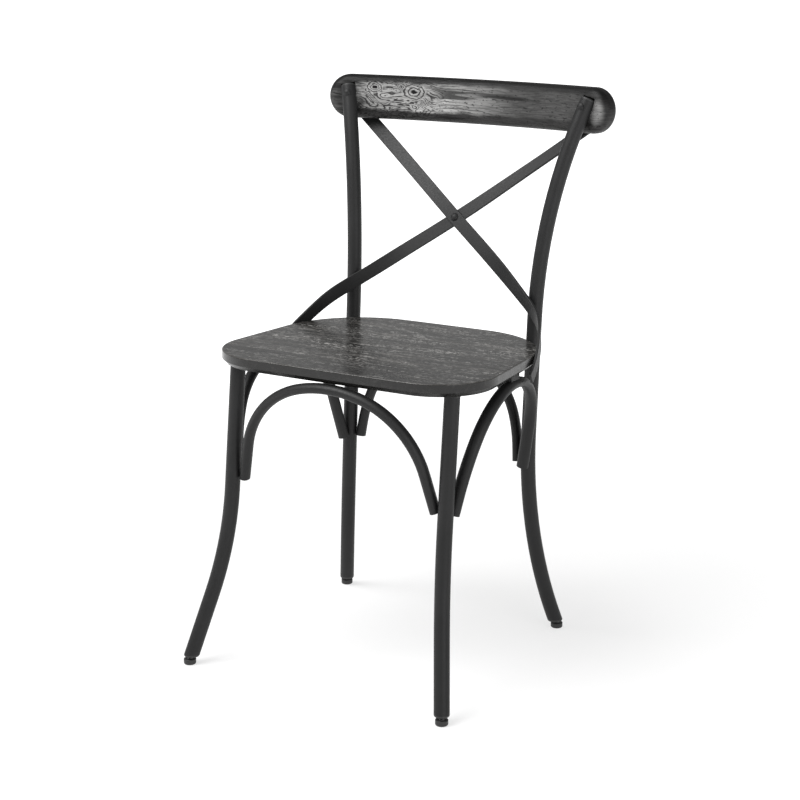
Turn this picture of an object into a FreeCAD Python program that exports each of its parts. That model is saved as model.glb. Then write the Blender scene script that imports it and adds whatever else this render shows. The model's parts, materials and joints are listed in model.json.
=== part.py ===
import FreeCAD, Part
import math
import os

# A dining chair in bent steel tube with a wooden seat, a curved wooden top rail
# and two flat steel straps crossing in the back. Millimetres, Z up, the front
# faces -Y, X = 0 is the plane of symmetry, the pads stand on Z = 0 and Y = 0 is
# midway between the front feet and the back of the rail.

# Round tube of the legs and posts.
tube_diameter = 23.2
tube_wall = 1.5

# Axis of a front leg, right-hand side: foot on the floor, bend corner, top.
front_foot_x = 221.2
front_foot_y = -258.0
front_knee_x = 184.5
front_knee_y = -194.8
front_knee_z = 188.0
front_top_x = 182.8
front_top_y = -167.7
front_bend_radius = 600.0

# Axis of a rear leg and back post, bent from one tube.
rear_foot_x = 200.0
rear_foot_y = 172.3
rear_knee_x = 162.5
rear_knee_y = 115.0
rear_knee_z = 170.0
rear_bend_radius = 740.0
post_bend_x = 163.3
post_bend_y = 144.3
post_bend_z = 683.0
post_bend_radius = 880.0
post_top_x = 212.5
post_top_y = 199.0
post_top_z = 843.5

# Seat.
seat_top_z = 481.6
seat_thickness = 20.0
seat_front_y = -214.0
seat_front_bow = 3.0
seat_rear_y = 148.9
seat_rear_bow = 2.5
seat_middle_half_width = 215.8
seat_side_taper_degrees = 5.0
seat_front_corner_radius = 94.0
seat_rear_corner_radius = 142.0
seat_top_round = 1.6
seat_underside_bevel = 7.0

# Oval tube of the arches under the seat.
arch_tube_width = 19.2
arch_tube_depth = 15.4
arch_tube_wall = 1.3

# Front arch: gap between its crest and the seat, lean at the ends, first bend,
# then a bend that closes at the crest.
front_arch_end_z = 287.0
front_arch_end_y = -180.9
front_arch_seat_gap = 1.1
front_arch_forward_lean = 27.1
front_arch_end_lean_degrees = 13.1
front_arch_shoulder_radius = 143.0
front_arch_shoulder_turn_degrees = 62.3

# Rear arch.
rear_arch_end_z = 283.5
rear_arch_end_y = 125.0
rear_arch_seat_gap = 7.1
rear_arch_rearward_lean = 22.7
rear_arch_end_lean_degrees = 6.1
rear_arch_shoulder_radius = 245.0
rear_arch_shoulder_turn_degrees = 11.0

# Side arches.
side_arch_end_z = 282.5
side_arch_seat_gap = 6.3
side_arch_crest_y = -26.5
side_arch_outward_lean = 31.4
side_arch_front_end_x = 186.0
side_arch_rear_end_x = 163.3
side_arch_front_lean_degrees = 9.2
side_arch_front_shoulder_radius = 230.0
side_arch_front_shoulder_turn_degrees = 20.2
side_arch_rear_lean_degrees = 9.3
side_arch_rear_shoulder_radius = 108.8
side_arch_rear_shoulder_turn_degrees = 70.3

# Top rail, a bent board with well rounded edges.
rail_radius = 760.0
rail_middle_y = 247.5
rail_middle_z = 826.5
rail_height = 70.5
rail_thickness = 34.0
rail_half_length = 255.0
rail_edge_round = 14.0
rail_lean_degrees = 2.0

# Back straps, flat bar.
strap_width = 21.0
strap_thickness = 4.0
strap_edge_round = 0.8
strap_crossing_y = 176.5
strap_crossing_z = 650.0
strap_pass_length = 140.0
strap_screw_inset = 9.0

# Upper end of a strap on the rail, then its middle points, right-hand side.
strap_end_x = 204.5
strap_end_drop = 24.0
strap_end_cover = 4.5
strap_upper_x = 102.4
strap_upper_y = 207.1
strap_upper_z = 725.0
strap_lower_x = 84.7
strap_lower_y = 149.6
strap_lower_z = 590.0
strap_inner_x = 148.4
strap_inner_y = 122.6
strap_inner_z = 545.0

# Crossing rivet.
rivet_shank_diameter = 6.0
rivet_head_diameter = 13.0
rivet_head_height = 4.0
rivet_rear_head_height = 2.4

# Screws through the post into the rail.
post_screw_z = 834.5
post_screw_shank_diameter = 6.0
post_screw_head_diameter = 12.5
post_screw_head_height = 3.0
post_screw_head_standoff = 0.6
post_screw_depth_in_rail = 22.0

# Screws through the strap ends into the rail.
strap_screw_diameter = 4.0
strap_screw_head_diameter = 9.0
strap_screw_head_height = 2.6
strap_screw_length = 16.0

# Brackets under the seat and the screws through them.
bracket_thickness = 3.0
front_bracket_width = 32.0
front_bracket_length = 58.0
front_bracket_corner_radius = 5.0
front_bracket_overhang = 1.0
side_bracket_width = 26.0
side_block_width = 10.0
side_block_saddle = 1.5
rear_bracket_width = 20.0
rear_bracket_reach = 34.0
rear_bracket_turn_degrees = 51.5
front_screw_inset = 6.0
front_screw_behind_leg = 34.0
side_screw_inset = 26.0
seat_screw_diameter = 4.5
seat_screw_head_diameter = 9.0
seat_screw_head_height = 2.8
seat_screw_head_round = 1.9
seat_screw_depth = 13.0

# Post caps, leg end plugs, studs and pads.
cap_flange = 3.0
cap_plug_depth = 18.0
cap_round = 2.4
plug_bottom_z = 12.0
plug_flange = 4.0
plug_round = 2.6
plug_depth = 19.0
stud_diameter = 8.0
stud_length = 27.0
stud_chamfer = 0.8
stud_neck_diameter = 4.4
stud_neck_length = 5.8
stud_ball_diameter = 9.2
stud_ball_z = 5.6
pad_diameter = 19.0
pad_height = 8.5
pad_round = 2.5
pad_top_round = 0.8
pad_mouth_diameter = 7.6
pad_mouth_depth = 1.0

# Clearances.
press_gap = 0.05
strap_pass_gap = 0.3
strap_seat_gap = 0.6
hole_gap = 0.2
thread_gap = 0.05
socket_gap = 0.05
weld_gap = 0.3

# Longer than the whole chair, how far a leg and a post run on before they are
# trimmed, and how close two lengths are when they count as equal.
beyond = 1000.0
overrun = 20.0
post_overrun = 60.0
near = 0.01

seat_underside_z = seat_top_z - seat_thickness
bracket_underside_z = seat_underside_z - bracket_thickness
tube_radius = tube_diameter / 2
tube_bore_radius = tube_radius - tube_wall

os.makedirs("parts", exist_ok=True)


def vec(x, y, z):
    return FreeCAD.Vector(x, y, z)


def mirrored(shape):
    return shape.mirror(vec(0, 0, 0), vec(1, 0, 0))


def save(name, shape):
    shape.exportStep("parts/" + name + ".step")


def save_pair(name, right_shape):
    save("right_" + name, right_shape)
    save("left_" + name, mirrored(right_shape))


def group(solids):
    return Part.makeCompound(solids)


# Axis line of a bent tube: straight runs joined by tangent arcs.
def bent_path(corners, radii):
    edges = []
    start = corners[0]
    for index, radius in enumerate(radii):
        corner = corners[index + 1]
        incoming = (corner - start).normalize()
        outgoing = (corners[index + 2] - corner).normalize()
        turn = incoming.getAngle(outgoing)
        setback = radius * math.tan(turn / 2)
        arc_start = corner - incoming * setback
        arc_end = corner + outgoing * setback
        inward = (outgoing - incoming).normalize()
        arc_middle = corner + inward * (radius / math.cos(turn / 2) - radius)
        edges.append(Part.makeLine(start, arc_start))
        edges.append(Part.Arc(arc_start, arc_middle, arc_end).toShape())
        start = arc_end
    edges.append(Part.makeLine(start, corners[-1]))
    return Part.Wire(edges)


def circle_wire(centre, direction, radius):
    return Part.Wire([Part.makeCircle(radius, centre, direction)])


def swept(path, profile):
    return Part.Solid(path.makePipeShell([profile], True, False))


def round_bar(path, radius):
    first = path.Edges[0]
    centre = first.valueAt(first.FirstParameter)
    direction = first.tangentAt(first.FirstParameter)
    return swept(path, circle_wire(centre, direction, radius))


# Everything above or below a level, as one big block.
def block_below(level):
    return Part.makeBox(beyond, beyond, beyond, vec(-beyond / 2, -beyond / 2, level - beyond))


def block_above(level):
    return Part.makeBox(beyond, beyond, beyond, vec(-beyond / 2, -beyond / 2, level))


# Level edges of a shape at a given height.
def edges_at(shape, level):
    return [edge for edge in shape.Edges
            if abs(edge.BoundBox.ZMin - level) < near and abs(edge.BoundBox.ZMax - level) < near]


def point_at_height(start, end, height):
    return start + (end - start) * ((height - start.z) / (end.z - start.z))


# Point of a path at a given height, and the path's direction at such a point.
def axis_at(path, height):
    plane = Part.makePlane(2 * beyond, 2 * beyond, vec(-beyond, -beyond, height))
    return path.section(plane).Vertexes[0].Point


def direction_at(path, point):
    spot = Part.Vertex(point)
    edge = min(path.Edges, key=lambda piece: piece.distToShape(spot)[0])
    return edge.tangentAt(edge.Curve.parameter(point))


front_foot = vec(front_foot_x, front_foot_y, 0)
front_knee = vec(front_knee_x, front_knee_y, front_knee_z)
front_top = vec(front_top_x, front_top_y, seat_underside_z)
rear_foot = vec(rear_foot_x, rear_foot_y, 0)
rear_knee = vec(rear_knee_x, rear_knee_y, rear_knee_z)
post_bend = vec(post_bend_x, post_bend_y, post_bend_z)
post_top = vec(post_top_x, post_top_y, post_top_z)
post_run_on = post_top + (post_top - post_bend).normalize() * post_overrun


# The legs are longer than needed at both ends, then trimmed.
front_leg_path = bent_path(
    [point_at_height(front_foot, front_knee, -overrun), front_knee,
     point_at_height(front_knee, front_top, seat_underside_z + overrun)],
    [front_bend_radius])
rear_leg_path = bent_path(
    [point_at_height(rear_foot, rear_knee, -overrun), rear_knee, post_bend, post_run_on],
    [rear_bend_radius, post_bend_radius])
front_leg_outside = round_bar(front_leg_path, tube_radius)
front_leg_bore = round_bar(front_leg_path, tube_bore_radius)
rear_leg_outside = round_bar(rear_leg_path, tube_radius)
rear_leg_bore = round_bar(rear_leg_path, tube_bore_radius)
tube_end_z = plug_bottom_z + plug_flange
post_end = axis_at(rear_leg_path, post_top_z)
post_up = direction_at(rear_leg_path, post_end)


# Everything of a post that lies further along it than its end and a distance.
def past_post_end(distance):
    return Part.makeCylinder(2 * tube_diameter, 2 * post_overrun,
                             post_end + post_up * distance, post_up)


# Line of the screw that holds a post to the rail, square to the bent rail.
rail_centre_y = rail_middle_y - rail_radius
post_screw_point = axis_at(rear_leg_path, post_screw_z)
post_screw_line = vec(post_screw_point.x, post_screw_point.y - rail_centre_y, 0).normalize()
post_screw_hole = Part.makeCylinder(
    post_screw_shank_diameter / 2 + hole_gap, 4 * tube_diameter,
    post_screw_point - post_screw_line * (2 * tube_diameter), post_screw_line)


def front_leg():
    leg = front_leg_outside.cut(front_leg_bore)
    leg = leg.cut(block_below(tube_end_z))
    return leg.cut(block_above(bracket_underside_z))


def rear_leg():
    leg = rear_leg_outside.cut(rear_leg_bore)
    leg = leg.cut(block_below(tube_end_z))
    leg = leg.cut(past_post_end(0))
    return leg.cut(post_screw_hole)


# The cap's plug follows the bent bore of the post, where the screw passes through
# it, and its flange closes the end.
def post_cap():
    flange = Part.makeCylinder(tube_radius, cap_flange, post_end, post_up)
    rim = [edge for edge in flange.Edges
           if edge.Closed and (edge.CenterOfMass - post_end).Length > cap_flange / 2]
    flange = flange.makeFillet(cap_round, rim)
    plug = round_bar(rear_leg_path, tube_bore_radius - press_gap).common(
        Part.makeCylinder(tube_diameter, cap_plug_depth, post_end, post_up * -1))
    return flange.fuse(plug).removeSplitter().cut(post_screw_hole)


# The plug closes the leg end with a level flange and carries the stud, which
# follows the axis of the slanting leg.
def end_plug(foot, knee, outside, path):
    along = (knee - foot).normalize()
    slab_corner = vec(foot.x - 2 * tube_diameter, foot.y - 2 * tube_diameter, 0)
    slab_side = 4 * tube_diameter
    flange = outside.common(Part.makeBox(
        slab_side, slab_side, plug_flange, slab_corner + vec(0, 0, plug_bottom_z)))
    flange = flange.makeFillet(plug_round, edges_at(flange, plug_bottom_z))
    insert = round_bar(path, tube_bore_radius - press_gap).common(Part.makeBox(
        slab_side, slab_side, plug_depth, slab_corner + vec(0, 0, tube_end_z)))
    thread = Part.makeCylinder(stud_diameter / 2 + thread_gap, 4 * stud_length, foot, along)
    return flange.fuse(insert).removeSplitter().cut(thread)


# Stud with a ball at its foot; the ball sits in the pad so the pad stands level.
def stud(foot, knee):
    along = (knee - foot).normalize()
    ball_centre = point_at_height(foot, knee, stud_ball_z)
    ball = Part.makeSphere(stud_ball_diameter / 2, ball_centre)
    neck = Part.makeCylinder(stud_neck_diameter / 2, stud_neck_length, ball_centre, along)
    shank = Part.makeCylinder(stud_diameter / 2, stud_length,
                              ball_centre + along * stud_neck_length, along)
    rims = [edge for edge in shank.Edges if edge.Closed]
    shank = shank.makeChamfer(stud_chamfer, rims)
    return ball.fuse([neck, shank]).removeSplitter()


def pad(foot, knee):
    ball_centre = point_at_height(foot, knee, stud_ball_z)
    disc = Part.makeCylinder(pad_diameter / 2, pad_height,
                             vec(ball_centre.x, ball_centre.y, 0))
    disc = disc.makeFillet(pad_round, edges_at(disc, 0))
    disc = disc.makeFillet(pad_top_round, edges_at(disc, pad_height))
    socket = Part.makeSphere(stud_ball_diameter / 2 + socket_gap, ball_centre)
    mouth = Part.makeCylinder(pad_mouth_diameter / 2, pad_mouth_depth,
                              vec(ball_centre.x, ball_centre.y, pad_height - pad_mouth_depth))
    return disc.cut(socket).cut(mouth)


# One half of an arch in its own plane, from the end (0, 0) to the crest. The
# straight run and the crest radius follow from the reach, the rise and the
# shoulder, so that both halves meet level at the crest.
def arch_half_points(reach, rise, lean, shoulder_radius, shoulder_turn):
    steep = lean + shoulder_turn
    shoulder_across = shoulder_radius * (math.cos(lean) - math.cos(steep))
    shoulder_up = shoulder_radius * (math.sin(steep) - math.sin(lean))
    left_across = reach - shoulder_across
    left_up = rise - shoulder_up
    determinant = math.sin(lean) * (1 - math.sin(steep)) - math.cos(lean) * math.cos(steep)
    straight = (left_across * (1 - math.sin(steep)) - left_up * math.cos(steep)) / determinant
    crest_radius = (math.sin(lean) * left_up - math.cos(lean) * left_across) / determinant

    def on_arc(origin, radius, first, last):
        return (origin[0] + radius * (math.cos(first) - math.cos(last)),
                origin[1] + radius * (math.sin(last) - math.sin(first)))

    end = (0.0, 0.0)
    bend_start = (straight * math.sin(lean), straight * math.cos(lean))
    bend_middle = on_arc(bend_start, shoulder_radius, lean, (lean + steep) / 2)
    bend_end = on_arc(bend_start, shoulder_radius, lean, steep)
    crest_middle = on_arc(bend_end, crest_radius, steep, (steep + math.pi / 2) / 2)
    crest = on_arc(bend_end, crest_radius, steep, math.pi / 2)
    return [end, bend_start, bend_middle, bend_end, crest_middle, crest]


# Whole arch: both halves put in place by the plane's two unit directions.
def arch_path(first_end, second_end, up, first_half, second_half):
    toward_second = (second_end - first_end).normalize()

    def placed(origin, direction, point):
        return origin + direction * point[0] + up * point[1]

    first = [placed(first_end, toward_second, p) for p in first_half]
    second = [placed(second_end, toward_second * -1, p) for p in second_half]
    edges = [Part.makeLine(first[0], first[1]),
             Part.Arc(first[1], first[2], first[3]).toShape(),
             Part.Arc(first[3], first[4], first[5]).toShape(),
             Part.Arc(first[5], second[4], second[3]).toShape(),
             Part.Arc(second[3], second[2], second[1]).toShape(),
             Part.makeLine(second[1], second[0])]
    return Part.Wire(edges)


# Oval ring at the start of the path, wide across the plane of the bend.
def oval_wire(centre, across, in_plane, half_width, half_depth):
    ellipse = Part.Ellipse(centre + across * half_width, centre + in_plane * half_depth, centre)
    return Part.Wire([ellipse.toShape()])


def oval_tube(path, plane_normal):
    first = path.Edges[0]
    start = first.valueAt(first.FirstParameter)
    in_plane = plane_normal.cross(first.tangentAt(first.FirstParameter)).normalize()
    outer = oval_wire(start, plane_normal, in_plane, arch_tube_width / 2, arch_tube_depth / 2)
    inner = oval_wire(start, plane_normal, in_plane,
                      arch_tube_width / 2 - arch_tube_wall, arch_tube_depth / 2 - arch_tube_wall)
    return swept(path, outer), swept(path, inner)


# Distance from a leg's axis to the axis of an arch welded to it.
leg_touch = tube_radius + arch_tube_depth / 2 + weld_gap


# Height from an arch's end up to its crest, which lies just under the seat.
def height_to_crest(end_z, seat_gap):
    return seat_underside_z - seat_gap - arch_tube_depth / 2 - end_z


def cross_arch(end_y, end_z, seat_gap, lean_y, lean_degrees, radius, turn_degrees, leg_path):
    leg_point = axis_at(leg_path, end_z)
    offset_y = end_y - leg_point.y
    reach = leg_point.x - math.sqrt(leg_touch ** 2 - offset_y ** 2)
    up = vec(0, lean_y, height_to_crest(end_z, seat_gap))
    rise = up.Length
    up.normalize()
    half = arch_half_points(reach, rise, math.radians(lean_degrees),
                            radius, math.radians(turn_degrees))
    path = arch_path(vec(-reach, end_y, end_z), vec(reach, end_y, end_z), up, half, half)
    return oval_tube(path, vec(1, 0, 0).cross(up))


front_arch_outside, front_arch_bore = cross_arch(
    front_arch_end_y, front_arch_end_z, front_arch_seat_gap, -front_arch_forward_lean,
    front_arch_end_lean_degrees, front_arch_shoulder_radius,
    front_arch_shoulder_turn_degrees, front_leg_path)
rear_arch_outside, rear_arch_bore = cross_arch(
    rear_arch_end_y, rear_arch_end_z, rear_arch_seat_gap, rear_arch_rearward_lean,
    rear_arch_end_lean_degrees, rear_arch_shoulder_radius,
    rear_arch_shoulder_turn_degrees, rear_leg_path)


def side_arch_solids():
    front_leg_point = axis_at(front_leg_path, side_arch_end_z)
    rear_leg_point = axis_at(rear_leg_path, side_arch_end_z)
    front_end = vec(side_arch_front_end_x, front_leg_point.y + leg_touch, side_arch_end_z)
    rear_end = vec(side_arch_rear_end_x, rear_leg_point.y - leg_touch, side_arch_end_z)
    along = (rear_end - front_end).normalize()
    crest_share = (side_arch_crest_y - front_end.y) / (rear_end.y - front_end.y)
    crest_foot = front_end + (rear_end - front_end) * crest_share
    sideways = along.cross(vec(0, 0, 1))
    up = sideways * side_arch_outward_lean + vec(
        0, 0, height_to_crest(side_arch_end_z, side_arch_seat_gap))
    rise = up.Length
    up.normalize()
    front_half = arch_half_points(
        (crest_foot - front_end).Length, rise,
        math.radians(side_arch_front_lean_degrees), side_arch_front_shoulder_radius,
        math.radians(side_arch_front_shoulder_turn_degrees))
    rear_half = arch_half_points(
        (rear_end - crest_foot).Length, rise,
        math.radians(side_arch_rear_lean_degrees), side_arch_rear_shoulder_radius,
        math.radians(side_arch_rear_shoulder_turn_degrees))
    path = arch_path(front_end, rear_end, up, front_half, rear_half)
    outer, inner = oval_tube(path, along.cross(up))
    crest = crest_foot + up * rise
    return outer, inner, crest


side_arch_outside, side_arch_bore, side_arch_crest = side_arch_solids()


# Seat outline: bowed front and rear edges, straight tapering sides, round corners.
def seat_outline_prism(bottom_z, height):
    taper = math.tan(math.radians(seat_side_taper_degrees))

    def side_x(y):
        return seat_middle_half_width - taper * y

    front_y = seat_front_y + seat_front_bow
    rear_y = seat_rear_y - seat_rear_bow
    front_right = vec(side_x(front_y), front_y, bottom_z)
    front_left = vec(-side_x(front_y), front_y, bottom_z)
    rear_right = vec(side_x(rear_y), rear_y, bottom_z)
    rear_left = vec(-side_x(rear_y), rear_y, bottom_z)
    edges = [Part.Arc(front_left, vec(0, seat_front_y, bottom_z), front_right).toShape(),
             Part.makeLine(front_right, rear_right),
             Part.Arc(rear_right, vec(0, seat_rear_y, bottom_z), rear_left).toShape(),
             Part.makeLine(rear_left, front_left)]
    prism = Part.Face(Part.Wire(edges)).extrude(vec(0, 0, height))
    uprights = [edge for edge in prism.Edges if edge.BoundBox.ZLength > height / 2]
    front_corners = [edge for edge in uprights if edge.CenterOfMass.y < 0]
    prism = prism.makeFillet(seat_front_corner_radius, front_corners)
    uprights = [edge for edge in prism.Edges if edge.BoundBox.ZLength > height / 2]
    rear_corners = [edge for edge in uprights if edge.CenterOfMass.y > rear_y - near]
    return prism.makeFillet(seat_rear_corner_radius, rear_corners)


# Places of the seat screws on the right-hand side, seen from above.
front_screw_place = vec(front_top_x - front_screw_inset, front_top_y + front_screw_behind_leg, 0)
side_screw_place = vec(side_arch_crest.x - side_screw_inset, side_arch_crest.y, 0)
post_at_seat = axis_at(rear_leg_path, seat_underside_z)
rear_bracket_turn = math.radians(rear_bracket_turn_degrees)
rear_bracket_direction = vec(-math.cos(rear_bracket_turn), -math.sin(rear_bracket_turn), 0)
rear_screw_place = vec(post_at_seat.x, post_at_seat.y, 0) + rear_bracket_direction * rear_bracket_reach
right_screw_places = [front_screw_place, side_screw_place, rear_screw_place]
screw_places = right_screw_places + [vec(-p.x, p.y, 0) for p in right_screw_places]


def seat():
    panel = seat_outline_prism(seat_underside_z, seat_thickness)
    panel = panel.makeFillet(seat_top_round, edges_at(panel, seat_top_z))
    panel = panel.makeChamfer(seat_underside_bevel, edges_at(panel, seat_underside_z))
    for place in screw_places:
        panel = panel.cut(Part.makeCylinder(
            seat_screw_diameter / 2, seat_screw_depth,
            vec(place.x, place.y, seat_underside_z)))
    return panel


def seat_screw(place):
    head_bottom_z = bracket_underside_z - seat_screw_head_height
    shank = Part.makeCylinder(seat_screw_diameter / 2, bracket_thickness + seat_screw_depth,
                              vec(place.x, place.y, bracket_underside_z))
    head = Part.makeCylinder(seat_screw_head_diameter / 2, seat_screw_head_height,
                             vec(place.x, place.y, head_bottom_z))
    head = head.makeFillet(seat_screw_head_round, edges_at(head, head_bottom_z))
    return shank.fuse(head).removeSplitter()


# Flat bar with a screw hole; the first end is round, the second end is square.
def flat_bracket(place, toward, length, width):
    across = vec(-toward.y, toward.x, 0)
    nose = vec(place.x, place.y, bracket_underside_z)
    round_end = Part.makeCylinder(width / 2, bracket_thickness, nose)
    corners = [nose + across * (width / 2), nose - across * (width / 2),
               nose - across * (width / 2) + toward * length,
               nose + across * (width / 2) + toward * length]
    bar = Part.Face(Part.makePolygon(corners + [corners[0]]))
    bar = bar.extrude(vec(0, 0, bracket_thickness))
    hole = Part.makeCylinder(seat_screw_diameter / 2 + hole_gap, bracket_thickness, nose)
    return round_end.fuse(bar).removeSplitter().cut(hole)


def front_bracket():
    width = front_bracket_width
    length = front_bracket_length
    plate = Part.makeBox(width, length, bracket_thickness,
                         vec(front_top_x + tube_radius - width,
                             front_top_y - tube_radius - front_bracket_overhang,
                             bracket_underside_z))
    corners = [edge for edge in plate.Edges if edge.BoundBox.ZLength > bracket_thickness / 2]
    plate = plate.makeFillet(front_bracket_corner_radius, corners)
    hole = Part.makeCylinder(
        seat_screw_diameter / 2 + hole_gap, bracket_thickness,
        vec(front_screw_place.x, front_screw_place.y, bracket_underside_z))
    return plate.cut(hole)


# Flat bar with a block under it that fills the way down to the arch's crest.
def side_bracket():
    bar = flat_bracket(side_screw_place, vec(1, 0, 0), side_screw_inset + side_block_width / 2,
                       side_bracket_width)
    block_bottom_z = side_arch_crest.z + arch_tube_depth / 2 - side_block_saddle
    block = Part.makeBox(
        side_block_width, side_bracket_width, bracket_underside_z - block_bottom_z,
        vec(side_arch_crest.x - side_block_width / 2,
            side_arch_crest.y - side_bracket_width / 2, block_bottom_z))
    return bar.fuse(block).removeSplitter().cut(side_arch_outside)


def rear_bracket():
    bar = flat_bracket(rear_screw_place, rear_bracket_direction * -1, rear_bracket_reach,
                       rear_bracket_width)
    return bar.cut(rear_leg_outside)


# Rail: a slab bent to the rail radius, with half-round ends cut square to it.
def rail():
    bottom_z = rail_middle_z - rail_height / 2
    centre = vec(0, rail_centre_y, bottom_z)
    half_angle = math.degrees((rail_half_length - rail_height / 2) / rail_radius)

    def bent_slab(half_turn):
        outer = Part.makeCylinder(rail_radius + rail_thickness / 2, rail_height, centre,
                                  vec(0, 0, 1), 2 * half_turn)
        inner = Part.makeCylinder(rail_radius - rail_thickness / 2, rail_height, centre,
                                  vec(0, 0, 1), 2 * half_turn)
        slab = outer.cut(inner)
        slab.rotate(centre, vec(0, 0, 1), 90 - half_turn)
        return slab

    board = bent_slab(half_angle)
    end_reach = math.degrees(rail_height / rail_radius)
    longer = bent_slab(half_angle + end_reach)
    for side in (1, -1):
        angle = math.radians(half_angle) * side
        outward = vec(math.sin(angle), math.cos(angle), 0)
        round_end = Part.makeCylinder(
            rail_height / 2, 4 * rail_thickness,
            vec(0, rail_centre_y, rail_middle_z) + outward * (rail_radius - 2 * rail_thickness),
            outward)
        board = board.fuse(longer.common(round_end))
    board = board.removeSplitter()
    front_and_back = []
    for edge in board.Edges:
        middle = edge.valueAt((edge.FirstParameter + edge.LastParameter) / 2)
        distance = math.hypot(middle.x, middle.y - rail_centre_y)
        on_face = abs(abs(distance - rail_radius) - rail_thickness / 2) < near
        if on_face:
            front_and_back.append(edge)
    board = board.makeFillet(rail_edge_round, front_and_back)
    board.rotate(vec(0, rail_middle_y, rail_middle_z), vec(1, 0, 0), -rail_lean_degrees)
    return board


crossing_point = vec(0, strap_crossing_y, strap_crossing_z)

# The strap lies round the seat's rear corner: angle about the corner's centre,
# extra distance from the seat's edge, height above the seat's top.
strap_wrap = [(39.5, 0.7, 36.0), (21.7, 0.0, 5.4), (10.5, 0.8, -14.0), (1.7, 1.3, -31.5)]


def seat_corner_centre():
    outline = seat_outline_prism(seat_underside_z, seat_thickness)
    rounds = [edge for edge in edges_at(outline, seat_top_z)
              if edge.Curve.TypeId == "Part::GeomCircle" and edge.CenterOfMass.x > 0
              and abs(edge.Curve.Radius - seat_rear_corner_radius) < near]
    return rounds[0].Curve.Center


def wrap_point(angle_degrees, extra, height):
    angle = math.radians(angle_degrees)
    reach = seat_rear_corner_radius + strap_seat_gap + strap_thickness / 2 + extra
    return seat_corner + vec(math.cos(angle) * reach, math.sin(angle) * reach, height)


# Centre line of the strap that runs from the upper left to the lower right.
seat_corner = seat_corner_centre()
strap_end_radius = rail_radius + rail_thickness / 2 - strap_end_cover
strap_end_y = rail_centre_y + math.sqrt(strap_end_radius ** 2 - strap_end_x ** 2)
strap_points = [
    vec(-strap_end_x, strap_end_y, rail_middle_z - strap_end_drop),
    vec(-strap_upper_x, strap_upper_y, strap_upper_z),
    crossing_point,
    vec(strap_lower_x, strap_lower_y, strap_lower_z),
    vec(strap_inner_x, strap_inner_y, strap_inner_z),
] + [wrap_point(*place) for place in strap_wrap]
strap_curve = Part.BSplineCurve()
strap_curve.interpolate(strap_points)

# Backward lean of the strap's face at the same points, in degrees. Where the
# straps cross, the lean makes both faces parallel.
crossing_parameter = strap_curve.parameter(crossing_point)
crossing_tangent = strap_curve.tangent(crossing_parameter)[0].normalize()
crossing_lean = math.degrees(math.atan2(
    -crossing_tangent.y, -crossing_tangent.x * crossing_tangent.z))
strap_leans = [38.0, 41.0, crossing_lean, 20.0, -1.0, -4.0, -6.0, 0.0, 6.0]
strap_sections = 40
strap_lean_curve = Part.BSplineCurve()
strap_lean_curve.interpolate(
    Points=[vec(value, index, 0) for index, value in enumerate(strap_leans)],
    Parameters=[strap_curve.parameter(point) for point in strap_points])


# Middle, tangent, face normal and width direction of a strap at a parameter. The
# deflection lifts the strap over the other one near the crossing.
def strap_frame(parameter, deflection):
    point = strap_curve.value(parameter)
    tangent = strap_curve.tangent(parameter)[0]
    flat_normal = vec(tangent.y, -tangent.x, 0).normalize()
    upward = flat_normal.cross(tangent)
    if upward.z < 0:
        upward = upward * -1
    lean = math.radians(strap_lean_curve.value(parameter).x)
    normal = (flat_normal * math.cos(lean) + upward * math.sin(lean)).normalize()
    width_direction = tangent.cross(normal).normalize()
    distance = min((point - crossing_point).Length / strap_pass_length, 1)
    shift = deflection * math.cos(distance * math.pi / 2) ** 2
    return point + normal * shift, tangent, normal, width_direction


def rounded_bar_section(centre, normal, width_direction):
    half_width = strap_width / 2
    half_thickness = strap_thickness / 2
    radius = strap_edge_round

    def at(u, v):
        return centre + width_direction * u + normal * v

    diagonal = radius * (1 - math.sqrt(0.5))
    edges = []
    quarter_turns = [(1, 1), (-1, 1), (-1, -1), (1, -1)]
    for index, (a, b) in enumerate(quarter_turns):
        c, d = quarter_turns[(index + 1) % 4]
        if a != c:
            arc = Part.Arc(at(a * half_width, b * (half_thickness - radius)),
                           at(a * (half_width - diagonal), b * (half_thickness - diagonal)),
                           at(a * (half_width - radius), b * half_thickness))
            line = Part.makeLine(at(a * (half_width - radius), b * half_thickness),
                                 at(c * (half_width - radius), d * half_thickness))
        else:
            arc = Part.Arc(at(a * (half_width - radius), b * half_thickness),
                           at(a * (half_width - diagonal), b * (half_thickness - diagonal)),
                           at(a * half_width, b * (half_thickness - radius)))
            line = Part.makeLine(at(a * half_width, b * (half_thickness - radius)),
                                 at(c * half_width, d * (half_thickness - radius)))
        edges.append(arc.toShape())
        edges.append(line)
    return Part.Wire(edges)


def strap(deflection):
    sections = []
    for index in range(strap_sections + 1):
        parameter = strap_curve.FirstParameter + (
            strap_curve.LastParameter - strap_curve.FirstParameter) * index / strap_sections
        centre, _, normal, width_direction = strap_frame(parameter, deflection)
        sections.append(rounded_bar_section(centre, normal, width_direction))
    return Part.makeLoft(sections, True, False)


crossing_offset = (strap_thickness + strap_pass_gap) / 2
crossing_axis = strap_frame(crossing_parameter, 0)[2]
rivet_hole = Part.makeCylinder(rivet_shank_diameter / 2 + hole_gap, 4 * strap_width,
                               crossing_point - crossing_axis * (2 * strap_width),
                               crossing_axis)


# Low dome on a flat base, standing on the base point along the direction.
def dome(base, direction, diameter, height):
    sphere_radius = (diameter ** 2 / 4 + height ** 2) / (2 * height)
    ball = Part.makeSphere(sphere_radius, base + direction * (height - sphere_radius))
    stock = Part.makeCylinder(diameter, 2 * height, base, direction)
    return ball.common(stock)


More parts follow.
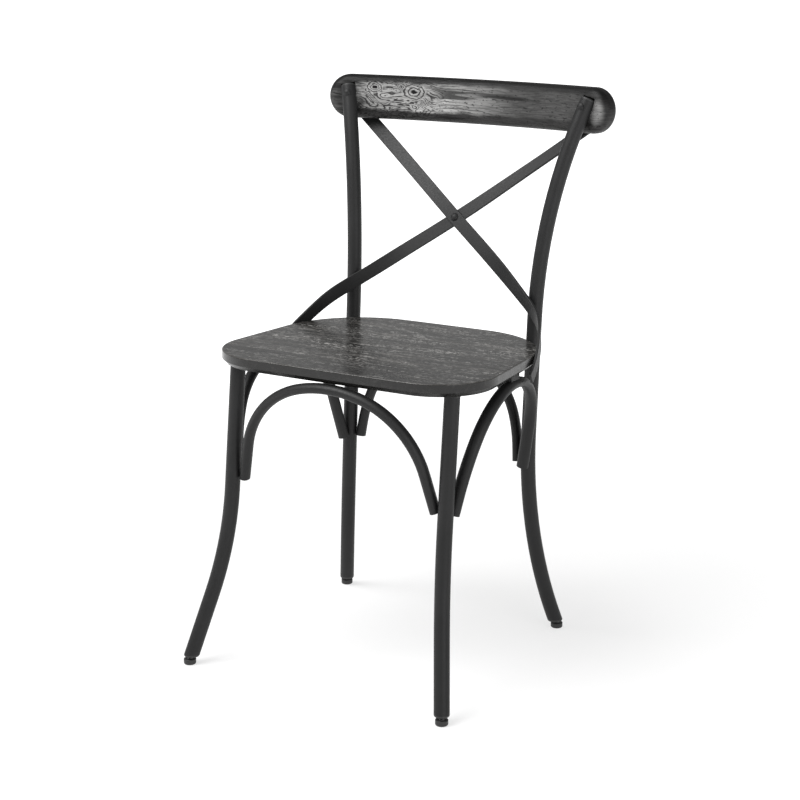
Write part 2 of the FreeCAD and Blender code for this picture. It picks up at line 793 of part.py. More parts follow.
def crossing_rivet():
    reach = strap_thickness + strap_pass_gap / 2 + hole_gap
    front_base = crossing_point + crossing_axis * reach
    rear_base = crossing_point - crossing_axis * reach
    shank = Part.makeCylinder(rivet_shank_diameter / 2, 2 * reach, rear_base, crossing_axis)
    front_head = dome(front_base, crossing_axis, rivet_head_diameter, rivet_head_height)
    rear_head = dome(rear_base, crossing_axis * -1, rivet_head_diameter, rivet_rear_head_height)
    return shank.fuse([front_head, rear_head]).removeSplitter()


# The head stands just off the tube, on a collar that is hollowed to the tube.
post_screw_head_base = post_screw_point - post_screw_line * (tube_radius + post_screw_head_standoff)
post_screw_length = 2 * tube_radius + post_screw_head_standoff + post_screw_depth_in_rail


def post_screw():
    head = dome(post_screw_head_base, post_screw_line * -1,
                post_screw_head_diameter, post_screw_head_height)
    collar = Part.makeCylinder(post_screw_head_diameter / 2, tube_radius,
                               post_screw_head_base, post_screw_line)
    head = head.fuse(collar).cut(rear_leg_outside)
    shank = Part.makeCylinder(post_screw_shank_diameter / 2, post_screw_length,
                              post_screw_head_base, post_screw_line)
    return head.fuse(shank).removeSplitter()


front_strap = strap(crossing_offset)
rear_strap = mirrored(strap(-crossing_offset))

# The strap's upper end lies in a notch in the lower back edge of the rail, and
# its screw goes square through it into the wood.
strap_top_centre, strap_top_tangent, strap_top_normal, strap_top_width = strap_frame(
    strap_curve.FirstParameter, 0)
strap_top_back = strap_top_normal * (-1 if strap_top_normal.y < 0 else 1)
strap_top_front = strap_top_back * -1
strap_screw_base = (strap_top_centre + strap_top_tangent * strap_screw_inset
                    + strap_top_back * (strap_thickness / 2))


def strap_screw():
    head = dome(strap_screw_base + strap_top_back * press_gap, strap_top_back,
                strap_screw_head_diameter, strap_screw_head_height)
    shank = Part.makeCylinder(strap_screw_diameter / 2, strap_screw_length + press_gap,
                              strap_screw_base + strap_top_back * press_gap, strap_top_front)
    return head.fuse(shank).removeSplitter()


def strap_notch():
    half_width = strap_width / 2 + hole_gap
    start = (strap_top_centre - strap_top_tangent * hole_gap
             + strap_top_front * (strap_thickness / 2 + hole_gap))
    corners = [start + strap_top_width * half_width, start - strap_top_width * half_width,
               start - strap_top_width * half_width + strap_top_tangent * rail_height,
               start + strap_top_width * half_width + strap_top_tangent * rail_height]
    outline = Part.Face(Part.makePolygon(corners + [corners[0]]))
    return outline.extrude(strap_top_back * rail_thickness)


# The groove for the post runs on past the post's cap.
def finished_rail():
    board = rail()
    groove = round_bar(rear_leg_path, tube_radius + press_gap)
    groove = groove.cut(past_post_end(2 * cap_flange))
    screw_pilot = Part.makeCylinder(post_screw_shank_diameter / 2 + thread_gap, post_screw_length,
                                    post_screw_head_base, post_screw_line)
    strap_pilot = Part.makeCylinder(strap_screw_diameter / 2 + thread_gap, strap_screw_length,
                                    strap_screw_base, strap_top_front)
    notch = strap_notch()
    tools = [groove, screw_pilot, mirrored(groove), mirrored(screw_pilot),
             strap_pilot, notch, mirrored(strap_pilot), mirrored(notch)]
    for tool in tools:
        board = board.cut(tool)
    return board


save("seat", seat())
save("top_rail", finished_rail())
save_pair("front_leg", front_leg())
save_pair("rear_leg", rear_leg())
save("front_arch", front_arch_outside.cut(front_arch_bore))
save("rear_arch", rear_arch_outside.cut(rear_arch_bore))
save_pair("side_arch", side_arch_outside.cut(side_arch_bore))
strap_screw_hole = Part.makeCylinder(
    strap_screw_diameter / 2 + hole_gap, 4 * strap_thickness,
    strap_screw_base + strap_top_back * strap_thickness, strap_top_front)
save("front_strap", front_strap.cut(rivet_hole).cut(strap_screw_hole))
save("rear_strap", rear_strap.cut(rivet_hole).cut(mirrored(strap_screw_hole)))
save("crossing_rivet", crossing_rivet())
save("post_screws", group([post_screw(), mirrored(post_screw())]))
save("strap_screws", group([strap_screw(), mirrored(strap_screw())]))
save_pair("front_bracket", front_bracket())
save_pair("side_bracket", side_bracket())
save_pair("rear_bracket", rear_bracket())
save("seat_screws", group([seat_screw(place) for place in screw_places]))
save_pair("post_cap", post_cap())
for corner_name, foot, knee, outside, path in (
        ("front", front_foot, front_knee, front_leg_outside, front_leg_path),
        ("rear", rear_foot, rear_knee, rear_leg_outside, rear_leg_path)):
    save_pair(corner_name + "_plug", end_plug(foot, knee, outside, path))
    save_pair(corner_name + "_stud", stud(foot, knee))
    save_pair(corner_name + "_pad", pad(foot, knee))
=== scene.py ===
import bpy
import json
import math
from mathutils import Matrix, Vector

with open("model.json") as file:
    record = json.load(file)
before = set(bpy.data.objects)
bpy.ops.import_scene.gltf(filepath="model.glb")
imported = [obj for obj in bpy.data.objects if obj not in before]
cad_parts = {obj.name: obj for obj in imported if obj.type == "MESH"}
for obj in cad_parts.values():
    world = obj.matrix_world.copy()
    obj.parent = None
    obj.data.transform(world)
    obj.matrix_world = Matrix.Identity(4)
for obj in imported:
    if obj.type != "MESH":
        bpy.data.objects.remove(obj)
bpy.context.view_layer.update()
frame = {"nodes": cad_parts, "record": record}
nodes = frame["nodes"]
bpy.ops.object.select_all(action="DESELECT")
print("chair frame loaded:", len(nodes), "nodes")

# material nodes stand in columns, in the order in which they are made
nodeGrid = {"rows": 8, "columnStep": 220, "rowStep": 260}


def newMaterial(name):
    material = bpy.data.materials.new(name)
    material.use_nodes = True
    tree = material.node_tree
    return material, tree, tree.nodes["Principled BSDF"]


def place(tree, kind):
    column, row = divmod(len(tree.nodes), nodeGrid["rows"])
    node = tree.nodes.new(kind)
    node.location = (column * nodeGrid["columnStep"], -row * nodeGrid["rowStep"])
    return node


# The shader and the output move behind the last column.
def closeTree(tree):
    column = len(tree.nodes) // nodeGrid["rows"] + 1
    tree.nodes["Principled BSDF"].location = (column * nodeGrid["columnStep"], 0)
    tree.nodes["Material Output"].location = ((column + 2) * nodeGrid["columnStep"], 0)


# Gives an input a number, a colour or another node's result.
def feed(tree, socket, value):
    if isinstance(value, bpy.types.NodeSocket):
        tree.links.new(value, socket)
    elif socket.type == "RGBA":
        socket.default_value = (*value, 1)
    else:
        socket.default_value = value


def mathNode(tree, kind, *values):
    node = place(tree, "ShaderNodeMath")
    node.operation = kind
    for socket, value in zip(node.inputs, values):
        feed(tree, socket, value)
    return node.outputs[0]


def plus(tree, first, second):
    return mathNode(tree, "ADD", first, second)


def minus(tree, first, second):
    return mathNode(tree, "SUBTRACT", first, second)


def times(tree, first, second):
    return mathNode(tree, "MULTIPLY", first, second)


def sineWave(tree, value, turn):
    return mathNode(tree, "SINE", times(tree, value, turn))


# Shifts a value to and fro by a noise round one half.
def ragged(tree, value, noiseValue, reach):
    return plus(tree, value, times(tree, minus(tree, noiseValue, 0.5), reach))


def vectorNode(tree, kind, vector, other=None):
    node = place(tree, "ShaderNodeVectorMath")
    node.operation = kind
    feed(tree, node.inputs[0], vector)
    if other is not None:
        feed(tree, node.inputs[1], other)
    return node.outputs["Value" if kind == "LENGTH" else "Vector"]


def mapRange(tree, value, fromRange, toRange=(0, 1), smooth=True):
    node = place(tree, "ShaderNodeMapRange")
    node.interpolation_type = "SMOOTHSTEP" if smooth else "LINEAR"
    for index, number in enumerate((value, *fromRange, *toRange)):
        feed(tree, node.inputs[index], number)
    return node.outputs[0]


def blendColors(tree, amount, first, second, kind="MIX"):
    node = place(tree, "ShaderNodeMix")
    node.data_type = "RGBA"
    node.blend_type = kind
    for index, value in ((0, amount), (6, first), (7, second)):
        feed(tree, node.inputs[index], value)
    return node.outputs[2]


def ramp(tree, value, spots, tones):
    node = place(tree, "ShaderNodeValToRGB")
    bar = node.color_ramp
    while len(bar.elements) < len(spots):
        bar.elements.new(0.5)
    for element, spot, tone in zip(bar.elements, spots, tones):
        element.position = spot
        element.color = (*tone, 1)
    tree.links.new(value, node.inputs["Fac"])
    return node.outputs["Color"]


def objectPoint(tree):
    return place(tree, "ShaderNodeTexCoord").outputs["Object"]


def stretched(tree, point, stretch):
    mapping = place(tree, "ShaderNodeMapping")
    mapping.inputs["Scale"].default_value = stretch
    tree.links.new(point, mapping.inputs["Vector"])
    return mapping.outputs["Vector"]


# A noise is given by its fineness, detail, roughness and distortion. The fineness
# is one number, or three where the noise is drawn out along the grain.
def noise(tree, point, values):
    fineness, detail, rough, distortion = values
    if isinstance(fineness, tuple):
        point = stretched(tree, point, fineness)
        fineness = 1.0
    node = place(tree, "ShaderNodeTexNoise")
    node.inputs["Scale"].default_value = fineness
    node.inputs["Detail"].default_value = detail
    node.inputs["Roughness"].default_value = rough
    node.inputs["Distortion"].default_value = distortion
    tree.links.new(point, node.inputs["Vector"])
    return node.outputs["Fac"]


def separate(tree, vector):
    node = place(tree, "ShaderNodeSeparateXYZ")
    tree.links.new(vector, node.inputs[0])
    return node.outputs


def combine(tree, first, second, third):
    node = place(tree, "ShaderNodeCombineXYZ")
    for socket, value in zip(node.inputs, (first, second, third)):
        tree.links.new(value, socket)
    return node.outputs[0]


def surfaceNormal(tree):
    return separate(tree, place(tree, "ShaderNodeNewGeometry").outputs["Normal"])


def addBump(tree, shader, height, distance, strength):
    node = place(tree, "ShaderNodeBump")
    node.inputs["Strength"].default_value = strength
    node.inputs["Distance"].default_value = distance
    tree.links.new(height, node.inputs["Height"])
    tree.links.new(node.outputs["Normal"], shader.inputs["Normal"])


coatLooks = {
    "tone": (0.0076, 0.0076, 0.0078), "paleTone": (0.017, 0.017, 0.0174),
    "specks": (1500, 3, 0.6, 0), "peel": (420, 4, 0.55, 0), "cloud": (14, 5, 0.6, 0.3),
    "cloudRange": (0.35, 0.68), "cloudStrength": 0.45, "speckRange": (0.62, 0.78), "speckStrength": 0.6,
    "roughFrom": (0.3, 0.7), "rough": (0.42, 0.58), "speckRelief": 0.5,
    "bump": 0.00006, "bumpStrength": 0.7, "gloss": 0.32}


# Fine textured powder coat on the tubes, straps and brackets.
def makeCoat():
    looks = coatLooks
    material, tree, shader = newMaterial("charcoalCoat")
    point = objectPoint(tree)
    specks = noise(tree, point, looks["specks"])
    peel = noise(tree, point, looks["peel"])
    cloud = noise(tree, point, looks["cloud"])
    tint = times(tree, mapRange(tree, cloud, looks["cloudRange"], smooth=False), looks["cloudStrength"])
    fleck = mapRange(tree, specks, looks["speckRange"], (0, looks["speckStrength"]), False)
    amount = mathNode(tree, "MAXIMUM", fleck, tint)
    color = blendColors(tree, amount, looks["tone"], looks["paleTone"])
    tree.links.new(color, shader.inputs["Base Color"])
    rough = mapRange(tree, peel, looks["roughFrom"], looks["rough"], False)
    tree.links.new(rough, shader.inputs["Roughness"])
    height = plus(tree, peel, times(tree, specks, looks["speckRelief"]))
    addBump(tree, shader, height, looks["bump"], looks["bumpStrength"])
    shader.inputs["Specular IOR Level"].default_value = looks["gloss"]
    closeTree(tree)
    return material


seatLooks = {
    "dark": (0.0055, 0.0051, 0.0047), "middle": (0.0150, 0.0141, 0.0132), "pale": (0.066, 0.063, 0.059),
    "fleck": (0.42, 0.41, 0.395), "boardWidth": 0.071, "firstBoard": 0.5,
    "wobble": (7.0, 3, 0.5, 0), "grainBend": 0.030, "grainSlide": 9.0,
    "streaks": ((5, 82, 82), 6, 0.66, 0.9), "pores": ((46, 400, 400), 4, 0.68, 0.6),
    "speckle": ((150, 200, 200), 2, 0.7, 1.0), "clumps": ((8, 36, 36), 4, 0.65, 1.5),
    "figure": ((2.4, 15, 15), 4, 0.55, 1.6), "brush": ((40, 1100, 1100), 2, 0.5, 0),
    "toneSpots": (0.34, 0.50, 0.66), "fleckRange": (0.49, 0.59), "clumpRange": (0.34, 0.60),
    "clumpAmount": (0.18, 1), "archTurn": 48, "archRange": (-0.2, 0.8), "archAmount": (0.30, 1),
    "fleckStrength": 0.50, "hollowRange": (0.38, 0.46), "hollowStrength": 0.7,
    "patchRange": (0.34, 0.68), "patchShade": (0.55, 1.40), "boardShade": (0.86, 1.16),
    "seamRange": (0.0, 0.010), "seamStrength": 0.45, "rimHighlightFrom": (0.25, 0.55), "rimHighlightTo": (0.90, 0.985),
    "rimHighlightStrength": 0.75, "sideShadeRange": (0.1, 0.6), "sideShadeStrength": 0.92,
    "roughFrom": (0.35, 0.65), "rough": (0.20, 0.32), "poreRelief": 0.6, "brushRelief": 0.25,
    "streakRelief": 0.6, "seamRelief": 0.8, "bump": 0.00014, "bumpStrength": 0.8, "gloss": 0.36}


# Wire-brushed boards under a satin lacquer, grain from side to side.
def makeSeatWood():
    looks = seatLooks
    material, tree, shader = newMaterial("brushedSeatWood")
    point = objectPoint(tree)
    across, back, high = separate(tree, point)[0:3]
    boardCount = mathNode(tree, "DIVIDE", plus(tree, back, looks["firstBoard"]), looks["boardWidth"])
    seamPlace = mathNode(tree, "FRACT", boardCount)
    randomBoard = place(tree, "ShaderNodeTexWhiteNoise")
    randomBoard.noise_dimensions = "1D"
    tree.links.new(mathNode(tree, "FLOOR", boardCount), randomBoard.inputs["W"])
    boardTone = randomBoard.outputs["Value"]

    # every board gets its own stretch of a gently bending grain
    alongGrain = plus(tree, across, times(tree, boardTone, looks["grainSlide"]))
    bend = times(tree, noise(tree, point, looks["wobble"]), looks["grainBend"])
    grain = combine(tree, alongGrain, plus(tree, back, bend), high)
    streaks = noise(tree, grain, looks["streaks"])
    pores = noise(tree, grain, looks["pores"])
    speckle = noise(tree, grain, looks["speckle"])
    clumps = noise(tree, grain, looks["clumps"])
    figure = noise(tree, grain, looks["figure"])
    brush = noise(tree, grain, looks["brush"])
    tones = (looks["dark"], looks["middle"], looks["pale"])
    base = ramp(tree, streaks, looks["toneSpots"], tones)

    # lime left in the pores shows as pale flecks that gather in clumps and arches
    fleckSpots = mapRange(tree, speckle, looks["fleckRange"])
    fleckClumps = mapRange(tree, clumps, looks["clumpRange"], looks["clumpAmount"])
    arches = sineWave(tree, figure, looks["archTurn"])
    archLines = mapRange(tree, arches, looks["archRange"], looks["archAmount"])
    flecks = times(tree, times(tree, fleckSpots, fleckClumps), archLines)
    fleckAmount = times(tree, flecks, looks["fleckStrength"])
    flecked = blendColors(tree, fleckAmount, base, looks["fleck"])
    hollows = times(tree, mapRange(tree, pores, looks["hollowRange"], (1, 0)), looks["hollowStrength"])
    lined = blendColors(tree, hollows, flecked, looks["dark"])

    # boards and patches differ in depth of stain, and a dark seam parts the boards
    patch = mapRange(tree, figure, looks["patchRange"], looks["patchShade"], False)
    boardShade = mapRange(tree, boardTone, (0, 1), looks["boardShade"], False)
    shaded = blendColors(tree, 1.0, lined, times(tree, patch, boardShade), "MULTIPLY")
    seamEdge = mathNode(tree, "MINIMUM", seamPlace, minus(tree, 1.0, seamPlace))
    seam = mapRange(tree, seamEdge, looks["seamRange"], (looks["seamStrength"], 0))
    seamed = blendColors(tree, seam, shaded, looks["dark"])

    # painted highlight: the top's rounded rim is painted paler; painted shade darkens the sides and
    # underside below it
    upward = surfaceNormal(tree)["Z"]
    rimHighlightFrom = mapRange(tree, upward, looks["rimHighlightFrom"])
    rimHighlightTo = mapRange(tree, upward, looks["rimHighlightTo"], (1, 0))
    paintedRimHighlight = times(tree, times(tree, rimHighlightFrom, rimHighlightTo), looks["rimHighlightStrength"])
    # painted shade on the faces that turn away from the top
    paintedSideShade = mapRange(tree, upward, looks["sideShadeRange"], (looks["sideShadeStrength"], 0), False)
    sideShaded = blendColors(tree, paintedSideShade, seamed, looks["dark"])
    color = blendColors(tree, paintedRimHighlight, sideShaded, looks["pale"])
    tree.links.new(color, shader.inputs["Base Color"])
    rough = mapRange(tree, streaks, looks["roughFrom"], looks["rough"], False)
    tree.links.new(rough, shader.inputs["Roughness"])
    relief = plus(tree, times(tree, pores, looks["poreRelief"]), times(tree, brush, looks["brushRelief"]))
    relief = plus(tree, relief, times(tree, streaks, looks["streakRelief"]))
    relief = minus(tree, relief, times(tree, seam, looks["seamRelief"]))
    addBump(tree, shader, relief, looks["bump"], looks["bumpStrength"])
    shader.inputs["Specular IOR Level"].default_value = looks["gloss"]
    closeTree(tree)
    return material


# Places along the rail are in metres from its middle, along its arc, and
# heights are in metres above the floor. Each knot has its place and its size.
railLooks = {
    "dark": (0.0050, 0.0049, 0.0048), "middle": (0.0155, 0.0152, 0.0150), "worn": (0.235, 0.233, 0.230),
    "bright": (0.50, 0.497, 0.49), "heart": (0.005, 0.005, 0.005),
    "arcCentre": -0.5125, "arcRadius": 0.76, "depth": 0.5,
    "drift": ((9, 22, 14), 3, 0.5, 0), "fineDrift": ((60, 110, 80), 3, 0.6, 0),
    "fibres": ((30, 560, 300), 5, 0.62, 0.4), "bands": ((6, 55, 40), 4, 0.6, 0.8),
    "dashes": ((150, 420, 300), 2, 0.5, 0.2), "cloud": ((20, 34, 30), 4, 0.6, 0.6),
    "swirl": ((13, 23, 16), 2, 0.45, 2.8), "longBands": ((3.2, 70, 40), 3, 0.5, 0.5),
    "driftReach": 0.030, "fineDriftReach": 0.0035,
    "knots": [(-0.176, 0.8445, 0.0050), (-0.129, 0.8455, 0.0028), (-0.107, 0.838, 0.0072)],
    "knotShape": (0.72, 1.2, 0), "knotRag": 0.009, "knotFade": -0.5, "knotLift": 1.5,
    "bandTurn": 1193.77, "bandRange": (0.35, 0.98), "bandClouds": (0.38, 0.62),
    "bandPlaces": (-0.02, 0.09), "bandAmount": (1, 0.30), "longRange": (0.53, 0.64), "longAmount": (0, 0.95),
    "swirlTurn": 62.83, "swirlRange": (0.05, 0.80), "swirlMiddle": -0.135, "swirlFade": (0.048, 0.092),
    "ringTurn": 8.0, "ringRange": (0.1, 0.9), "ringFade": (1.9, 2.5), "heartFade": (0.35, 0.62),
    "faceRag": 0.22, "faceRange": (0.80, 0.95), "placeRag": 0.10, "heightRag": 0.014,
    "wornLeft": (-0.217, -0.193), "leftAmount": (0.12, 1), "wornRight": (-0.060, 0.100),
    "rightAmount": (1, 0.13), "wornLow": (0.8055, 0.8115), "wornHigh": (0.8475, 0.8555),
    "cloudRange": (0.28, 0.60), "cloudAmount": (0.45, 1),
    "endPatch": (0.237, 0.826), "endPatchSize": (0.013, 0.018), "endRange": (0.7, 2.1), "endStrength": 0.50,
    "groundSpots": (0.30, 0.60), "wornSpots": (0.08, 0.38, 0.78),
    "facingShadeRange": (-0.5, 0.7), "stainAndShade": (3.0, 0.20), "lineStrength": 0.88,
    "dashRange": (0.60, 0.68), "dashStrength": 0.7, "roughFrom": (0.3, 0.7), "rough": (0.34, 0.56),
    "fibreRelief": 0.5, "lineRelief": 0.45, "heartRelief": 0.9,
    "bump": 0.0006, "bumpStrength": 0.75, "gloss": 0.15}


# How far a place is from a knot, in knot sizes, on a ragged outline.
def knotDistance(tree, flat, knot, fineDrift):
    looks = railLooks
    knotAlong, knotHigh, size = knot
    away = vectorNode(tree, "SUBTRACT", flat, (knotAlong, knotHigh, 0))
    length = vectorNode(tree, "LENGTH", vectorNode(tree, "MULTIPLY", away, looks["knotShape"]))
    return mathNode(tree, "DIVIDE", ragged(tree, length, fineDrift, looks["knotRag"]), size)


# Pale wood shows where the front face is worn, and in a spot at the right end.
def wornAmount(tree, along, high, normal, bands, cloud):
    looks = railLooks
    forward = times(tree, normal["Y"], -1.0)
    frontFace = mapRange(tree, ragged(tree, forward, bands, looks["faceRag"]), looks["faceRange"])
    raggedAlong = ragged(tree, along, cloud, looks["placeRag"])
    raggedHigh = ragged(tree, high, cloud, looks["heightRag"])
    left = mapRange(tree, raggedAlong, looks["wornLeft"], looks["leftAmount"])
    right = mapRange(tree, raggedAlong, looks["wornRight"], looks["rightAmount"])
    low = mapRange(tree, raggedHigh, looks["wornLow"])
    top = mapRange(tree, raggedHigh, looks["wornHigh"], (1, 0))
    cloudy = mapRange(tree, cloud, looks["cloudRange"], looks["cloudAmount"], False)
    worn = times(tree, times(tree, left, right), times(tree, frontFace, cloudy))
    worn = times(tree, worn, times(tree, low, top))
    reach = cloud
    for value, middle, size in zip((along, high), looks["endPatch"], looks["endPatchSize"]):
        share = mathNode(tree, "DIVIDE", minus(tree, value, middle), size)
        reach = plus(tree, reach, times(tree, share, share))
    endSpot = mapRange(tree, reach, looks["endRange"], (looks["endStrength"], 0))
    return mathNode(tree, "MAXIMUM", worn, endSpot)


# Black-stained rail with a worn face; the grain runs round its knots.
def makeRailWood():
    looks = railLooks
    material, tree, shader = newMaterial("knottyRailWood")
    across, back, high = separate(tree, objectPoint(tree))[0:3]
    fromCentre = minus(tree, back, looks["arcCentre"])
    along = times(tree, mathNode(tree, "ARCTAN2", across, fromCentre), looks["arcRadius"])
    flat = combine(tree, along, high, times(tree, fromCentre, looks["depth"]))
    drift = noise(tree, flat, looks["drift"])
    fineDrift = noise(tree, flat, looks["fineDrift"])
    fibres = noise(tree, flat, looks["fibres"])
    bands = noise(tree, flat, looks["bands"])
    dashes = noise(tree, flat, looks["dashes"])
    cloud = noise(tree, flat, looks["cloud"])
    swirl = noise(tree, flat, looks["swirl"])
    longBands = noise(tree, flat, looks["longBands"])

    # the grain lines are level sets of a height that the knots push up
    level = plus(tree, high, times(tree, drift, looks["driftReach"]))
    level = plus(tree, level, times(tree, fineDrift, looks["fineDriftReach"]))
    nearest = None
    for knot in looks["knots"]:
        reach = knotDistance(tree, flat, knot, fineDrift)
        fade = mathNode(tree, "EXPONENT", times(tree, times(tree, reach, reach), looks["knotFade"]))
        level = plus(tree, level, times(tree, fade, knot[2] * looks["knotLift"]))
        nearest = reach if nearest is None else mathNode(tree, "MINIMUM", nearest, reach)

    # bands along the rail, closed swirls over the knotty stretch, rings at the knots
    bandLine = mapRange(tree, sineWave(tree, level, looks["bandTurn"]), looks["bandRange"])
    bandLine = times(tree, bandLine, mapRange(tree, bands, looks["bandClouds"], smooth=False))
    bandAmount = mapRange(tree, along, looks["bandPlaces"], looks["bandAmount"], False)
    longLine = mapRange(tree, longBands, looks["longRange"], looks["longAmount"])
    bandLine = mathNode(tree, "MAXIMUM", times(tree, bandLine, bandAmount), longLine)
    swirlLine = mapRange(tree, sineWave(tree, swirl, looks["swirlTurn"]), looks["swirlRange"])
    fromSwirl = mathNode(tree, "ABSOLUTE", minus(tree, along, looks["swirlMiddle"]))
    swirlZone = mapRange(tree, fromSwirl, looks["swirlFade"], (1, 0))
    ringLine = mapRange(tree, sineWave(tree, nearest, looks["ringTurn"]), looks["ringRange"])
    ringZone = mapRange(tree, nearest, looks["ringFade"], (1, 0))
    lines = blendColors(tree, swirlZone, bandLine, swirlLine)
    lines = blendColors(tree, ringZone, lines, ringLine)

    # painted shade and painted light: the ground is darkened on the rail's top and paled on its underside,
    # as light from sky and floor falls
    normal = surfaceNormal(tree)
    ground = ramp(tree, fibres, looks["groundSpots"], (looks["dark"], looks["middle"]))
    # painted shade on the top, painted light from below on the underside
    stainAndShade = mapRange(tree, normal["Z"], looks["facingShadeRange"], looks["stainAndShade"], False)
    ground = blendColors(tree, 1.0, ground, stainAndShade, "MULTIPLY")
    tones = (looks["middle"], looks["worn"], looks["bright"])
    pale = ramp(tree, fibres, looks["wornSpots"], tones)
    worn = wornAmount(tree, along, high, normal, bands, cloud)
    faced = blendColors(tree, worn, ground, pale)
    inked = blendColors(tree, times(tree, lines, looks["lineStrength"]), faced, looks["dark"])
    dashAmount = times(tree, mapRange(tree, dashes, looks["dashRange"]), looks["dashStrength"])
    dashed = blendColors(tree, dashAmount, inked, looks["dark"])
    heart = mapRange(tree, nearest, looks["heartFade"], (1, 0))
    color = blendColors(tree, heart, dashed, looks["heart"])
    tree.links.new(color, shader.inputs["Base Color"])
    rough = mapRange(tree, fibres, looks["roughFrom"], looks["rough"], False)
    tree.links.new(rough, shader.inputs["Roughness"])
    relief = minus(tree, times(tree, fibres, looks["fibreRelief"]), times(tree, lines, looks["lineRelief"]))
    relief = minus(tree, relief, times(tree, heart, looks["heartRelief"]))
    addBump(tree, shader, relief, looks["bump"], looks["bumpStrength"])
    shader.inputs["Specular IOR Level"].default_value = looks["gloss"]
    closeTree(tree)
    return material


plasticLooks = {
    "name": "mouldedPlastic", "tone": (0.012, 0.012, 0.012), "pale": (0.022, 0.022, 0.022),
    "stretch": (1, 1, 1), "grain": (900, 4, 0.6, 0), "stainAndShade": (60, 4, 0.6, 0), "roughBy": "stainAndShade",
    "roughFrom": (0.3, 0.7), "rough": (0.42, 0.60), "metallic": 0.0, "bump": 0.00004, "bumpStrength": 1.0}
zincLooks = {
    "name": "zincSteel", "tone": (0.30, 0.30, 0.31), "pale": (0.45, 0.45, 0.46),
    "stretch": (1, 1, 6), "grain": (500, 4, 0.6, 0), "stainAndShade": (90, 4, 0.6, 0), "roughBy": "grain",
    "roughFrom": (0.3, 0.7), "rough": (0.26, 0.48), "metallic": 1.0, "bump": 0.00005, "bumpStrength": 1.0}


# Small parts: a fine grain in the surface under a cloudy stain.
def makeSmallFinish(looks):
    material, tree, shader = newMaterial(looks["name"])
    point = stretched(tree, objectPoint(tree), looks["stretch"])
    noises = {name: noise(tree, point, looks[name]) for name in ("grain", "stainAndShade")}
    color = blendColors(tree, noises["stainAndShade"], looks["tone"], looks["pale"])
    tree.links.new(color, shader.inputs["Base Color"])
    rough = mapRange(tree, noises[looks["roughBy"]], looks["roughFrom"], looks["rough"], False)
    tree.links.new(rough, shader.inputs["Roughness"])
    shader.inputs["Metallic"].default_value = looks["metallic"]
    addBump(tree, shader, noises["grain"], looks["bump"], looks["bumpStrength"])
    closeTree(tree)
    return material


finishBySlot = {"coated_steel": makeCoat(), "stained_seat_wood": makeSeatWood(),
                "stained_rail_wood": makeRailWood(), "black_plastic": makeSmallFinish(plasticLooks),
                "bright_steel": makeSmallFinish(zincLooks)}
for entry in frame["record"]["subparts"]:
    for slot in nodes[entry["node"]].material_slots:
        slot.material = finishBySlot[entry["material_slot"]]
print("finishes assigned to", len(nodes), "nodes")


cameraLooks = {"azimuth": 29.825, "elevation": 14.631, "roll": 0.359, "lens": 84.07, "sensor": 36,
               "location": (1.386797, -2.416103, 1.117856)}


def buildCamera():
    looks = cameraLooks
    data = bpy.data.cameras.new("photoCamera")
    data.lens = looks["lens"]
    data.sensor_width = looks["sensor"]
    camera = bpy.data.objects.new("photoCamera", data)
    bpy.context.scene.collection.objects.link(camera)
    turn = (Matrix.Rotation(math.radians(looks["azimuth"]), 4, "Z")
            @ Matrix.Rotation(math.radians(90 - looks["elevation"]), 4, "X")
            @ Matrix.Rotation(math.radians(looks["roll"]), 4, "Z"))
    camera.matrix_world = Matrix.Translation(looks["location"]) @ turn
    bpy.context.scene.camera = camera


floorLooks = {"size": 120, "drop": 0.0002, "tone": (0.35, 0.35, 0.35), "rough": 0.9, "glowTone": (1, 1, 1),
              "glowRange": (0.7, 2.2), "glow": (0.655, 1.25)}


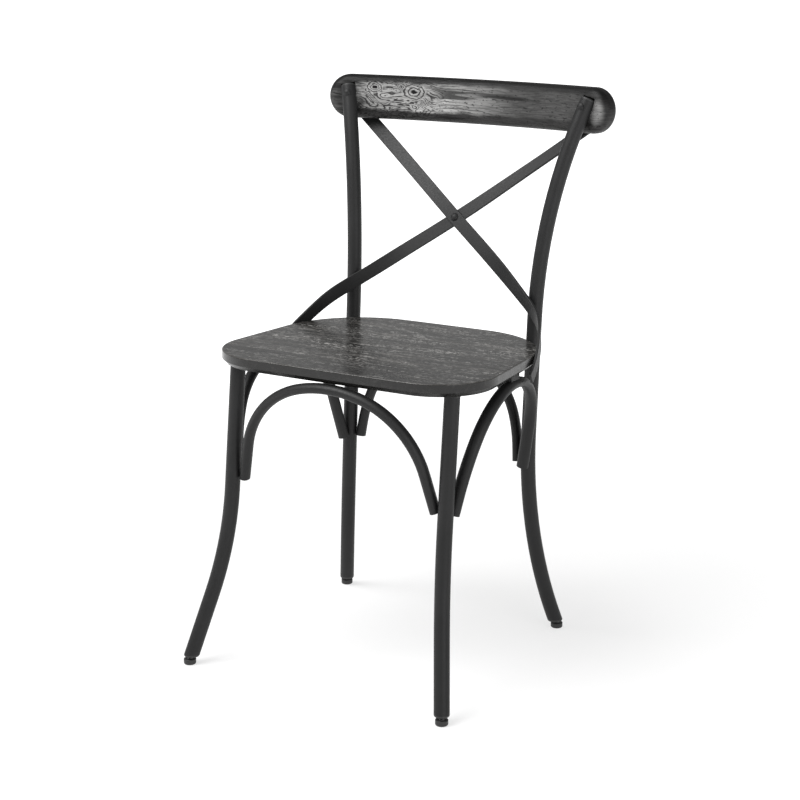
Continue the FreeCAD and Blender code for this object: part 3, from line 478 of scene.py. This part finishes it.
# A wide paper floor. It glows less near the chair, where the lamps already light it.
def buildFloor():
    looks = floorLooks
    bpy.ops.object.select_all(action="DESELECT")
    bpy.ops.mesh.primitive_plane_add(size=looks["size"], location=(0, 0, -looks["drop"]))
    floor = bpy.context.active_object
    floor.name = "studioFloor"
    material, tree, shader = newMaterial("paleFloor")
    feed(tree, shader.inputs["Base Color"], looks["tone"])
    feed(tree, shader.inputs["Emission Color"], looks["glowTone"])
    shader.inputs["Roughness"].default_value = looks["rough"]
    shader.inputs["Specular IOR Level"].default_value = 0.0
    away = vectorNode(tree, "LENGTH", objectPoint(tree))
    glow = mapRange(tree, away, looks["glowRange"], looks["glow"])
    tree.links.new(glow, shader.inputs["Emission Strength"])
    closeTree(tree)
    floor.data.materials.append(material)


skyLooks = {"tone": (1, 1, 1), "light": 0.42, "backdrop": 1.0}


# The backdrop looks white, while the sky lights the chair more softly.
def buildSky():
    looks = skyLooks
    world = bpy.data.worlds.new("studioSky")
    bpy.context.scene.world = world
    world.use_nodes = True
    tree = world.node_tree
    sky = tree.nodes["Background"]
    feed(tree, sky.inputs["Color"], looks["tone"])
    seen = place(tree, "ShaderNodeLightPath").outputs["Is Camera Ray"]
    strength = mapRange(tree, seen, (0, 1), (looks["light"], looks["backdrop"]), False)
    tree.links.new(strength, sky.inputs["Strength"])


# Every lamp has its name, place, size, energy and whether it shows in gloss. The
# low lamp at the side doesn't, as it would leave a glare on the seat's lacquer.
lampLooks = {"target": (0, 0, 0.5),
             "lamps": [("keyLight", (-1.3, -1.8, 3.9), 2.6, 195, True),
                       ("sideLight", (-3.2, -1.6, 1.2), 1.8, 40, False),
                       ("fillLight", (2.8, -1.4, 1.5), 2.0, 28, True)]}


def buildLamps():
    for name, spot, size, energy, glossy in lampLooks["lamps"]:
        data = bpy.data.lights.new(name, "AREA")
        data.energy = energy
        data.size = size
        lamp = bpy.data.objects.new(name, data)
        bpy.context.scene.collection.objects.link(lamp)
        lamp.location = spot
        aim = Vector(lampLooks["target"]) - Vector(spot)
        lamp.rotation_euler = aim.to_track_quat("-Z", "Y").to_euler()
        lamp.visible_glossy = glossy


buildCamera()
buildFloor()
buildSky()
buildLamps()
bpy.context.scene.view_settings.view_transform = "Standard"
print("camera and studio ready")
